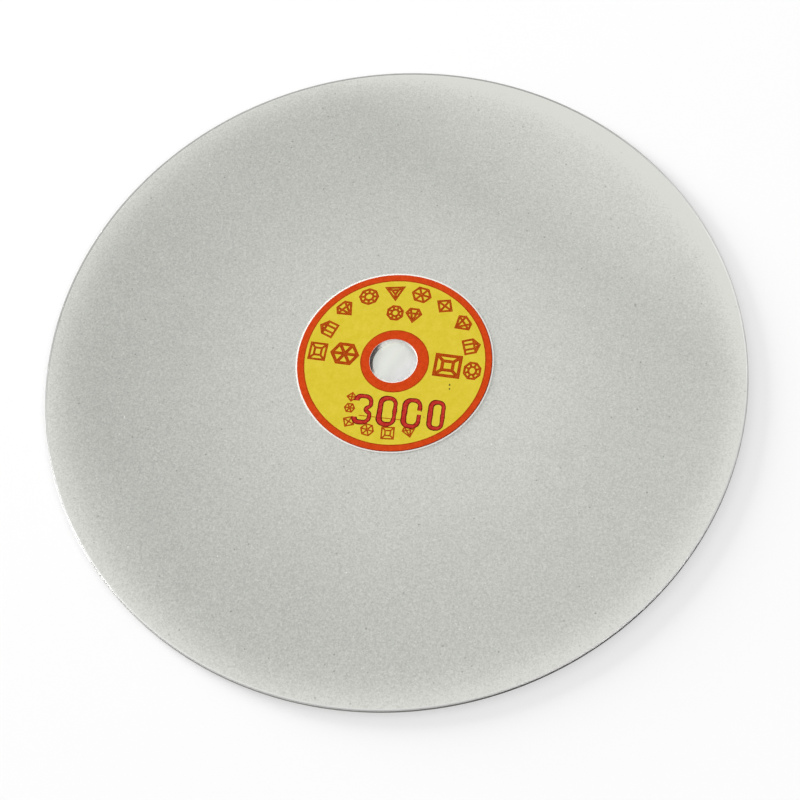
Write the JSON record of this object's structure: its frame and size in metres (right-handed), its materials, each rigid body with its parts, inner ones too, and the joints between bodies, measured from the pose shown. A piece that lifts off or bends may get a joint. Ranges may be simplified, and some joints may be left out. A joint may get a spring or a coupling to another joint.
{
  "type": "diamond flat lap disc",
  "caption": "Flat steel grinding disc with an electroplated diamond face, a plain arbor bore and a round printed label, for a lapidary machine.",
  "frame": {"origin": "centre of the rear face, on the spin axis", "axes": "+Z along the spin axis, out of the diamond face; +Y towards the top of the label"},
  "size_m": [0.2, 0.2, 0.0016],
  "materials": {
    "nickel_plated_steel": "dull nickel plate over mild steel, fine turned and rolled scratches",
    "diamond_coat": "matt electroplated nickel filled with very fine diamond grit",
    "label_glue": "clear pressure sensitive adhesive",
    "label_print": "white varnished paper printed yellow and red"
  },
  "bodies": {
    "root": {"backing_plate": "nickel_plated_steel", "diamond_layer": "diamond_coat", "label_adhesive": "label_glue", "label_face": "label_print"}
  },
  "joints": []
}
